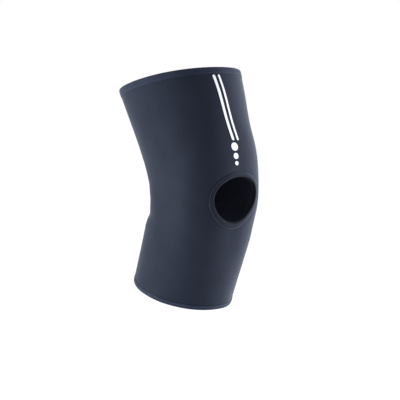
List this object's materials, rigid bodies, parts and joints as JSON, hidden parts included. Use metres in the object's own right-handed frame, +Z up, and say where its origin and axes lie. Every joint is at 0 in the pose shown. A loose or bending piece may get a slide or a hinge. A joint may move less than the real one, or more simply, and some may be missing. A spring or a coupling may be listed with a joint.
{
  "type": "knee sleeve",
  "caption": "Pull-on knee sleeve of cloth-faced foam with an open kneecap, a padded ring round the opening and sewn edge bands, in the slightly bent shape that it takes when worn.",
  "frame": {"origin": "the middle of the knee inside the sleeve, where the leg holds it", "axes": "+Z is up the leg as it stands in the picture, the kneecap opening faces -Y, and the outer side of the right leg faces -X"},
  "size_m": [0.131, 0.1649, 0.2648],
  "materials": {
    "sleeve_jersey": "fine smooth knit over foam, matt with a soft sheen",
    "band_cloth": "fine smooth knit, matt",
    "ring_jersey": "fine smooth knit over padding, matt",
    "print_film": "thin bonded film, satin"
  },
  "bodies": {
    "root": {"sleeve_body": "sleeve_jersey", "top_band": "band_cloth", "bottom_band": "band_cloth", "patella_ring": "ring_jersey", "stripe_outer": "print_film", "stripe_inner": "print_film", "dot_1": "print_film", "dot_2": "print_film", "dot_3": "print_film"}
  },
  "joints": []
}
